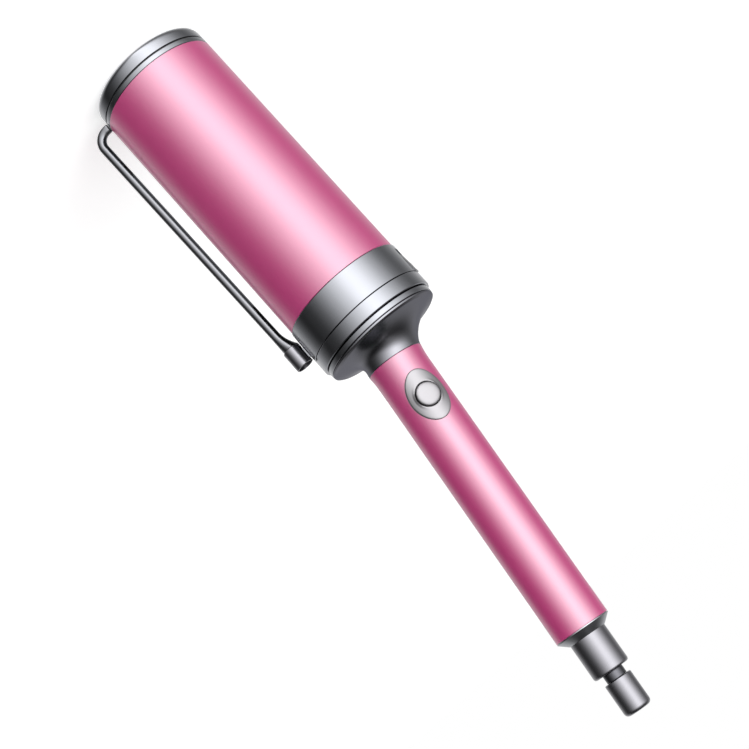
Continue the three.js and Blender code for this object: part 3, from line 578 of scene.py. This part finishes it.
FERRULE_OFFSET = JOINTS["clip_hinge"]["pos_m"][0] * MM_PER_METRE
PIN_STATION = JOINTS["clip_hinge"]["pos_m"][2] * MM_PER_METRE
CLIP_OPENING = math.radians(JOINTS["clip_hinge"]["range_deg"][1])
PIN_RADIUS = 0.8
LUG_HALF = 0.8  # half the lug's thickness
LUG_RADIUS = 1.7
LUG_HALF_LENGTH = 2.4
SLIDE_FLOOR = 24.9  # radius of the flat bottom of the heat slide's pocket
SLIDE_TRAVEL = JOINTS["heat_slide_travel"]["range_m"][1] * MM_PER_METRE
SLIDE_HALF_WIDTH = 3.0
SLIDE_SIDE_GAP = 0.3
COLLAR_WALL = 1.85
COLLAR_EDGE = 0.25
RIM_WALL = 2.2


def disc_outline(radius, x=0.0, y=0.0, sides=48):
    """Points of a circle round (x, y)."""
    turn = 2 * math.pi / sides
    return [(x + radius * math.cos(turn * k), y + radius * math.sin(turn * k))
            for k in range(sides)]


def across(outline, low, high):
    """An outline of (x, z) points raised along Y."""
    return skinned([[Vector((x, y, z)) for x, z in outline] for y in (low, high)])


def clip_lug(root):
    """The lug that carries the clip's pin, from the radius root out to its round head."""
    low = PIN_STATION - LUG_HALF_LENGTH
    high = PIN_STATION + LUG_HALF_LENGTH
    head = [
        (FERRULE_OFFSET + LUG_RADIUS * math.sin(angle), PIN_STATION - LUG_RADIUS * math.cos(angle))
        for angle in (math.pi * k / 16 for k in range(17))
    ]
    body = across([(root, low), *head, (root, high)], -LUG_HALF, LUG_HALF)
    eye = across(disc_outline(PIN_RADIUS + 0.15, FERRULE_OFFSET, PIN_STATION, 32), -2, 2)
    return combined(body, [eye], "DIFFERENCE")


def ferrule_clearance():
    """The room that the ferrule's tail turns into when the clip is wide open."""
    tail = raised(disc_outline(3.9), 0, Reach("clip_ferrule").end - PIN_STATION + 0.4)
    tail.transform(Matrix.Translation((FERRULE_OFFSET, 0, PIN_STATION))
                   @ Matrix.Rotation(-CLIP_OPENING - 0.01, 4, "Y"))
    return tail


def slide_clearance(end):
    """The heat slide's pocket, open at the collar's end, and the slot for its stem."""
    tab_low = box_mm("heat_slide_tab")[0].z
    half = SLIDE_HALF_WIDTH + SLIDE_SIDE_GAP
    pocket = raised([(-30, -half), (-SLIDE_FLOOR, -half), (-SLIDE_FLOOR, half), (-30, half)],
                    tab_low - SLIDE_TRAVEL - 0.4, end + 1)
    slot = raised([(-30, -1.7), (-20, -1.7), (-20, 1.7), (-30, 1.7)],
                  tab_low + 3.0 - SLIDE_TRAVEL, tab_low + 5.8)
    return [pocket, slot]


def make_front_band():
    """The collar's broad band, with the clip's lug on one side and the heat slide opposite."""
    ring = Reach("collar_ring")
    start = Reach("barrel_tube").end + SEAM
    end = ring.start - 0.1
    inner = ring.radius - COLLAR_WALL
    outline = rounded([
        (inner, start), (ring.radius, start, COLLAR_EDGE), (ring.radius, end - SEAM, COLLAR_EDGE),
        (inner, end - SEAM),
    ])
    body = combined(turned(outline, BARREL_SIDES), [ferrule_clearance(), *slide_clearance(end)],
                    "DIFFERENCE")
    body = combined(body, [clip_lug(ring.radius - 0.8)], "UNION")
    finished("collar_front_band", body, "chrome_turned", ["collar_band"], "wand")


def make_back_band():
    ring = Reach("collar_ring")
    bore = Reach("rim_ring").radius - RIM_WALL
    start = ring.start + 0.04
    end = ring.end - 0.15
    outline = rounded([
        (bore, start), (ring.radius, start, COLLAR_EDGE), (ring.radius, end, 0.5), (bore, end),
    ])
    finished("collar_back_band", turned(outline, BARREL_SIDES), "chrome_turned", ["collar_ring"],
             "wand")


def make_rim():
    """The rim ring as two turned pieces, with a fine groove between them."""
    rim = Reach("rim_ring")
    bore = rim.radius - RIM_WALL
    start = rim.start + 0.12
    groove = rim.start + 2.4
    end = rim.end - 0.05
    rim_outline = rounded([
        (bore, start), (rim.radius, start, 0.2), (rim.radius, groove - 0.2, 0.5),
        (rim.radius - 0.5, groove), (bore, groove),
    ])
    finished("collar_rim", turned(rim_outline, BARREL_SIDES), "chrome_turned", ["rim_ring"],
             "wand")
    lip_outline = rounded([
        (bore, groove + 0.12), (rim.radius - 0.1, groove + 0.12, 0.25),
        (rim.radius - 0.2, rim.end - 0.7, 0.5), (rim.radius - 1.3, end, 0.3), (bore, end),
    ])
    finished("bell_lip", turned(lip_outline, BARREL_SIDES), "chrome_bell", ["rim_ring"], "wand")


def smoothstep(value, low, high):
    """Goes smoothly from 0 at low to 1 at high."""
    t = min(1, max(0, (value - low) / (high - low)))
    return t * t * (3 - 2 * t)


BELL_BORE = 13.0


def make_bell():
    """The concave shoulder: turned about the barrel's axis, then leaned to the handle's."""
    rim = Reach("rim_ring")
    neck = Reach("handle_tube", HANDLE)
    neck_z = PIVOT_Z + neck.start - 0.1
    start = (rim.radius - 1.35, rim.end - 0.05)
    shoulder = bezier(start, (18.5, rim.end + 1.3), (neck.radius + 0.3, rim.end + 2.5),
                      (neck.radius, neck_z - 0.05), 40)
    skirt = rim.radius - 2.6
    sleeve = 9.3  # outer radius of the sleeve that the handle slips over
    sleeve_bore = sleeve - 1.5
    sleeve_end = neck_z + 5.5
    outline = [
        (BELL_BORE, rim.start), (skirt, rim.start), (skirt, start[1]), *shoulder,
        (neck.radius - 0.3, neck_z), (sleeve, neck_z), (sleeve, sleeve_end),
        (sleeve_bore, sleeve_end), (sleeve_bore, neck_z - 2.5), (BELL_BORE, rim.end + 0.8),
    ]
    bm = turned(outline, CAP_SIDES)
    for vertex in bm.verts:
        x, height = vertex.co.x, vertex.co.z - PIVOT_Z
        angle = LEAN * smoothstep(height, rim.end - PIVOT_Z, neck.start)
        vertex.co.x = x * math.cos(angle) + height * math.sin(angle)
        vertex.co.z = PIVOT_Z - x * math.sin(angle) + height * math.cos(angle)
    finished("bell", bm, "chrome_bell", ["bell_neck"], "wand", crease=50)


RIDGE_PITCH = 0.9
RIDGE_DEPTH = 0.12
SLIDE_SIDE_EASE = 0.18  # how far the side edges drop


def make_heat_slide():
    """A thin curved plate with a thumb ledge and ridges, on a stem through the collar."""
    low, high = box_mm("heat_slide_tab")
    radius = Reach("collar_ring").radius
    base = SLIDE_FLOOR + 0.2
    ledge = -low.x - radius
    ridges = []
    for k in range(4):
        z = high.z - 1.5 - RIDGE_PITCH * k
        crest = radius + ledge * 0.75
        ridges += [(crest, z + 0.25), (crest - RIDGE_DEPTH, z)]
    outline = rounded([
        (base, low.z), (radius - 0.1, low.z, 0.15), (radius + 0.05, low.z + 0.6, 0.3),
        *reversed(ridges), (-low.x - 0.05, high.z - 0.9, 0.3), (-low.x, high.z, 0.15),
        (base, high.z),
    ])
    half_angle = math.asin(SLIDE_HALF_WIDTH / radius)
    rings = []
    steps = 16
    for k in range(steps + 1):
        angle = math.pi - half_angle + 2 * half_angle * k / steps
        # The drop comes in the outer fifth of each side.
        ease = SLIDE_SIDE_EASE * max(0, abs(2 * k / steps - 1) - 0.8) / 0.2
        ring = []
        for r, z in outline:
            reach = r - (ease if r > base + 0.1 else 0)
            ring.append(Vector((reach * math.cos(angle), reach * math.sin(angle), z)))
        rings.append(ring)
    plate = skinned(rings)
    stem = raised([(-base - 0.3, -1.4), (high.x, -1.4), (high.x, 1.4), (-base - 0.3, 1.4)],
                  high.z - 5.2, high.z - 3.2)
    body = combined(plate, [stem], "UNION")
    finished("heat_slide_thumbpiece", body, "steel_turned", ["heat_slide_tab"], "heat_slide")


# ---------------------------------------------------------------- hair clip

# Offsets are from the barrel's axis, and stations along it from the cap's end face.
WIRE_RADIUS = 1.95
WIRE_ROOT_OFFSET = 31.35
WIRE_TIP_ROUNDING = 0.6
WIRE_TENON = 1.6  # radius of the wire's end inside the ferrule
FLARE_RADIUS = 3.4
FLARE_OFFSET = 29.95
FLARE_LENGTH = 8.5
HOOK_STATION = 5.5
HOOK_BEND = 5.2
WIRE_SIDES = 32


def wire_ring(x, z, direction, radius):
    """A ring of points round the clip wire, square to a direction from +X towards +Z."""
    across_x = -math.sin(direction)
    across_z = math.cos(direction)
    ring = []
    for k in range(WIRE_SIDES):
        angle = 2 * math.pi * k / WIRE_SIDES
        out = radius * math.cos(angle)
        ring.append(Vector((x + out * across_x, radius * math.sin(angle), z + out * across_z)))
    return ring


def make_clip_wire():
    """The wire from its free end: the hook, the long run, and the flare into the ferrule."""
    low, high = box_mm("clip_wire")
    tip_offset = high.x - WIRE_RADIUS
    bend_offset = tip_offset - HOOK_BEND
    run_start = HOOK_STATION + HOOK_BEND
    flare_end = Reach("clip_ferrule").start - 0.1
    flare_start = flare_end - FLARE_LENGTH
    rings = []
    for k in range(5):
        angle = math.pi / 2 * (1 - k / 4)
        x = low.x + WIRE_TIP_ROUNDING * (1 - math.sin(angle))
        radius = WIRE_RADIUS - WIRE_TIP_ROUNDING * (1 - math.cos(angle))
        rings.append(wire_ring(x, HOOK_STATION, 0, radius))
    for k in range(25):
        direction = math.pi / 2 * k / 24
        x = bend_offset + HOOK_BEND * math.sin(direction)
        z = HOOK_STATION + HOOK_BEND * (1 - math.cos(direction))
        rings.append(wire_ring(x, z, direction, WIRE_RADIUS))
    for k in range(1, 40):
        t = k / 40
        x = tip_offset + (WIRE_ROOT_OFFSET - tip_offset) * t
        z = run_start + (flare_start - run_start) * t
        rings.append(wire_ring(x, z, math.pi / 2, WIRE_RADIUS))
    for k in range(17):
        t = k / 16
        x = WIRE_ROOT_OFFSET + (FLARE_OFFSET - WIRE_ROOT_OFFSET) * t * t
        radius = WIRE_RADIUS + (FLARE_RADIUS - WIRE_RADIUS) * t * t
        rings.append(wire_ring(x, flare_start + FLARE_LENGTH * t, math.pi / 2, radius))
    for z in (flare_end, high.z):
        rings.append(wire_ring(FLARE_OFFSET, z, math.pi / 2, WIRE_TENON))
    # The wire takes the darker chrome, whose darkening is painted shade.
    finished("clip_arm", skinned(rings), "chrome_wire_painted_shade", ["clip_wire"], "clip",
             crease=40)


FERRULE_WALL = 0.55
FERRULE_HOLE = 1.8  # radius of the hole for the wire's end
FERRULE_SLOT = 1.15  # half the width of the slot for the lug


def pin_half_length():
    return box_mm("clip_pin")[1].y - 0.5


def make_ferrule():
    ferrule = Reach("clip_ferrule")
    radius = box_mm("clip_ferrule")[1].x - FERRULE_OFFSET
    bore = radius - FERRULE_WALL
    outline = rounded([
        (FERRULE_HOLE, ferrule.start), (radius, ferrule.start, 0.35), (radius, ferrule.end, 0.2),
        (bore, ferrule.end, 0.1), (bore, PIN_STATION - 2), (FERRULE_HOLE, PIN_STATION - 3.4),
    ])
    body = turned(outline, FERRULE_SIDES)
    body.transform(Matrix.Translation((FERRULE_OFFSET, 0, 0)))
    slot = raised([(20, -FERRULE_SLOT), (FERRULE_OFFSET, -FERRULE_SLOT),
                   (FERRULE_OFFSET, FERRULE_SLOT), (20, FERRULE_SLOT)],
                  PIN_STATION - 3.5, ferrule.end + 1)
    # The pin's hole is blind, so that the outside of the ferrule is unbroken.
    reach = pin_half_length() + 0.05
    hole = across(disc_outline(PIN_RADIUS + 0.05, FERRULE_OFFSET, PIN_STATION, 32), -reach, reach)
    body = combined(body, [slot, hole], "DIFFERENCE")
    finished("clip_socket", body, "steel_turned", ["clip_ferrule"], "clip")


def make_pin():
    half = pin_half_length()
    outline = rounded([
        (0, -half), (PIN_RADIUS, -half, 0.2), (PIN_RADIUS, half, 0.2), (0, half),
    ], closed=False)
    pin = turned(outline, PIN_SIDES)
    pin.transform(Matrix.Translation((FERRULE_OFFSET, 0, PIN_STATION))
                  @ Matrix.Rotation(math.pi / 2, 4, "X"))
    finished("clip_hinge_pin", pin, "steel_turned", ["clip_pin"], "clip")


SPRING_WIRE = 0.17  # radius
SPRING_TURNS = 2.25
SPRING_STEPS = 96
SPRING_WIRE_SIDES = 10


def make_clip_spring():
    """A coil round the pin, with its ends left as they are wound."""
    low, high = box_mm("clip_spring")
    coil = (high.x - low.x) / 2 - SPRING_WIRE
    length = high.y - low.y - 2 * SPRING_WIRE
    rings = []
    for k in range(SPRING_STEPS + 1):
        t = k / SPRING_STEPS
        angle = 2 * math.pi * SPRING_TURNS * t
        out = Vector((math.cos(angle), 0, math.sin(angle)))
        on_axis = Vector((FERRULE_OFFSET, low.y + SPRING_WIRE + length * t, PIN_STATION))
        ring = []
        for j in range(SPRING_WIRE_SIDES):
            turn = 2 * math.pi * j / SPRING_WIRE_SIDES
            along = Vector((0, SPRING_WIRE * math.sin(turn), 0))
            ring.append(on_axis + out * (coil + SPRING_WIRE * math.cos(turn)) + along)
        rings.append(ring)
    finished("clip_return_spring", skinned(rings), "plain_steel", ["clip_spring"], "wand")


# ---------------------------------------------------------------- handle

HANDLE_WALL = 1.3
BEZEL_HALF_LENGTH = 10.8
BEZEL_HALF_WIDTH = 7.4
BEZEL_OVERLAP = 0.8  # how far the surround covers the handle round its window
BUTTON_RADIUS = 4.65
BUTTON_FLANGE = 5.2  # radius of the flange that keeps the button in

# Takes a shape's X, Y and Z to the deck's Y, Z and X, so that it is raised outwards.
OUTWARD = Matrix(((0, 0, 1, 0), (1, 0, 0, 0), (0, 1, 0, 0), (0, 0, 0, 1)))


def handle_radius():
    return Reach("handle_end_ring", HANDLE).radius - 0.05


def button_station():
    button = Reach("power_button", DECK)
    return (button.start + button.end) / 2


def oval(half_width, half_length, sides=96):
    """Points of an ellipse."""
    turn = 2 * math.pi / sides
    return [(half_width * math.cos(turn * k), half_length * math.sin(turn * k))
            for k in range(sides)]


def make_handle():
    """The handle's tube: it widens from the bell's neck, and has a window for the button."""
    tube = Reach("handle_tube", HANDLE)
    radius = handle_radius()
    bore = radius - HANDLE_WALL
    start = tube.start + 0.02
    flare = bezier((tube.radius, start + 0.15), (radius + 0.1, start + 2.6),
                   (radius, start + 4), (radius, start + 8), 16)
    outline = [
        (bore, start), (tube.radius - 0.15, start), *flare,
        *rounded([(radius, start + 9), (radius, tube.end, EDGE), (bore, tube.end)], closed=False),
    ]
    body = turned(outline, CAP_SIDES)
    window = raised(oval(BEZEL_HALF_WIDTH - BEZEL_OVERLAP, BEZEL_HALF_LENGTH - BEZEL_OVERLAP),
                    2, 20)
    to_deck = HANDLE.inverted() @ DECK
    window.transform(to_deck @ Matrix.Translation((0, 0, button_station())) @ OUTWARD)
    body = combined(body, [window], "DIFFERENCE")
    shell = finished("handle_shell", body, "pink_handle", ["handle_tube"], "wand",
                     HANDLE)
    # The chrome beside it shows the studio, not the handle.
    shell.visible_glossy = False


def make_bezel():
    """An oval saddle: its skin is swept out from the button's well to the handle's surface."""
    surface_radius = handle_radius()
    station = button_station()
    well = BUTTON_RADIUS + 0.32
    # Steps across the saddle: share of the way from well to edge, and height over the handle.
    across_skin = [(0.0, -2.2), (0.0, 0.28), (0.02, 0.42), (0.06, 0.5)]
    across_skin += [(t, 0.5) for t in (0.12, 0.2, 0.3, 0.4, 0.5, 0.6, 0.7, 0.8, 0.88)]
    across_skin += [(0.93, 0.47), (0.97, 0.38), (1.0, 0.2), (1.0, -0.05), (0.94, -0.05),
                    (0.94, -1.0), (0.5, -1.0)]
    inner = oval(well, well, SPIGOT_SIDES)
    outer = oval(BEZEL_HALF_WIDTH, BEZEL_HALF_LENGTH, SPIGOT_SIDES)
    rings = []
    for share, height in across_skin:
        # A low flat lip stands round the well where the saddle falls away.
        lip = 0.3 * (1 - smoothstep(share, 0.06, 0.3))
        flat = surface_radius - 0.15 + height
        ring = []
        for near, far in zip(inner, outer):
            y, z = Vector(near).lerp(Vector(far), share)
            saddle = math.sqrt((surface_radius + height) ** 2 - y * y)
            ring.append(Vector((saddle + (flat - saddle) * lip, y, z + station)))
        rings.append(ring)
    bm = skinned([*rings, rings[0]], cap=False)
    bmesh.ops.remove_doubles(bm, verts=bm.verts, dist=1e-5)
    bmesh.ops.recalc_face_normals(bm, faces=bm.faces)
    finished("button_surround", bm, "silver_satin", ["button_bezel"], "wand",
             DECK, crease=45)


def make_button():
    """A low dome on a flange."""
    button = Reach("power_button", DECK)
    base = button.low_x
    crown = button.high_x
    shoulder = crown - 1.0
    dome = bezier((BUTTON_RADIUS, shoulder), (BUTTON_RADIUS - 0.02, shoulder + 0.75),
                  (BUTTON_RADIUS - 1.6, crown), (0.001, crown), 20)
    outline = [
        (0, base), (BUTTON_FLANGE, base), (BUTTON_FLANGE, base + 0.7), (BUTTON_RADIUS, base + 0.7),
        *dome[:-1], (0, crown),
    ]
    bm = turned(outline, SPIGOT_SIDES)
    bm.transform(Matrix.Translation((0, 0, button_station()))
                 @ Matrix.Rotation(math.pi / 2, 4, "Y"))
    finished("button_cap", bm, "silver_satin", ["power_button"], "button", DECK,
             crease=40)


# ---------------------------------------------------------------- spigot

END_COLLAR_BORE = 5.6
END_COLLAR_LIP = 0.9  # depth of the counterbore that takes the stub's shoulder
END_SLEEVE_WALL = 1.7
SHAFT_RADIUS = 4.4  # of the stub inside the handle
STUB_BORE = 2.6
CORE_RADIUS = 2.4  # of the insulator inside the stub
CORE_BORE = 1.7
TIP_STEM = 1.4  # radius of the tip's stem inside the insulator


def make_end_collar():
    """The chamfered ring at the handle's end, with a sleeve that goes into the handle."""
    ring = Reach("handle_end_ring", HANDLE)
    tube_end = Reach("handle_tube", HANDLE).end
    recess = Reach("swivel_stub", HANDLE).radius + 0.08
    recess_floor = ring.end - END_COLLAR_LIP
    radius = handle_radius()
    sleeve = ring.radius - 1.55
    sleeve_bore = sleeve - END_SLEEVE_WALL
    base = tube_end + 0.1
    floor = tube_end + 0.3
    outline = rounded([
        (END_COLLAR_BORE, recess_floor), (recess, recess_floor), (recess, ring.end),
        (recess + 0.12, ring.end), (radius, tube_end + 0.45, 0.2), (radius, base),
        (sleeve, base), (sleeve, ring.start), (sleeve_bore, ring.start), (sleeve_bore, floor),
        (END_COLLAR_BORE, floor),
    ])
    finished("handle_end_collar", turned(outline, RING_SIDES), "chrome_spigot_ring",
             ["handle_end_ring"], "wand", HANDLE)


def make_spigot_body():
    stub = Reach("swivel_stub", HANDLE)
    shoulder = Reach("handle_end_ring", HANDLE).end - 0.7
    outline = rounded([
        (STUB_BORE, stub.start), (SHAFT_RADIUS, stub.start, 0.2), (SHAFT_RADIUS, shoulder),
        (stub.radius, shoulder), (stub.radius, stub.end, 1.1), (STUB_BORE, stub.end),
    ])
    finished("spigot_body", turned(outline, SPIGOT_SIDES), "steel_spigot", ["swivel_stub"],
             "swivel", HANDLE)


def make_spigot_insulator():
    insulator = Reach("swivel_insulator", HANDLE)
    start = Reach("swivel_stub", HANDLE).end + 0.1
    outline = rounded([
        (CORE_BORE, insulator.start), (CORE_RADIUS, insulator.start), (CORE_RADIUS, start),
        (insulator.radius, start, 0.15), (insulator.radius, insulator.end, 0.15),
        (CORE_BORE, insulator.end),
    ])
    finished("spigot_insulator", turned(outline, FERRULE_SIDES), "chrome_groove",
             ["swivel_insulator"], "swivel", HANDLE)


def make_spigot_tip():
    tip = Reach("plug_tip", HANDLE)
    start = Reach("swivel_insulator", HANDLE).end + 0.1
    outline = rounded([
        (0, tip.start), (TIP_STEM, tip.start, 0.3), (TIP_STEM, start), (tip.radius, start, 0.5),
        (tip.radius, tip.end, 1.8), (0, tip.end),
    ], closed=False)
    finished("spigot_tip", turned(outline, SPIGOT_SIDES), "steel_spigot", ["plug_tip"],
             "swivel", HANDLE)


# ---------------------------------------------------------------- the scene

make_camera()
make_world()
make_floor()
make_materials()
finish_cad_nodes()
make_cap()
make_gasket()
make_end_ring()
make_barrel()
make_front_band()
make_back_band()
make_rim()
make_bell()
make_heat_slide()
make_clip_wire()
make_ferrule()
make_pin()
make_clip_spring()
make_handle()
make_bezel()
make_button()
make_end_collar()
make_spigot_body()
make_spigot_insulator()
make_spigot_tip()

scene = bpy.context.scene
scene.view_settings.view_transform = "Standard"
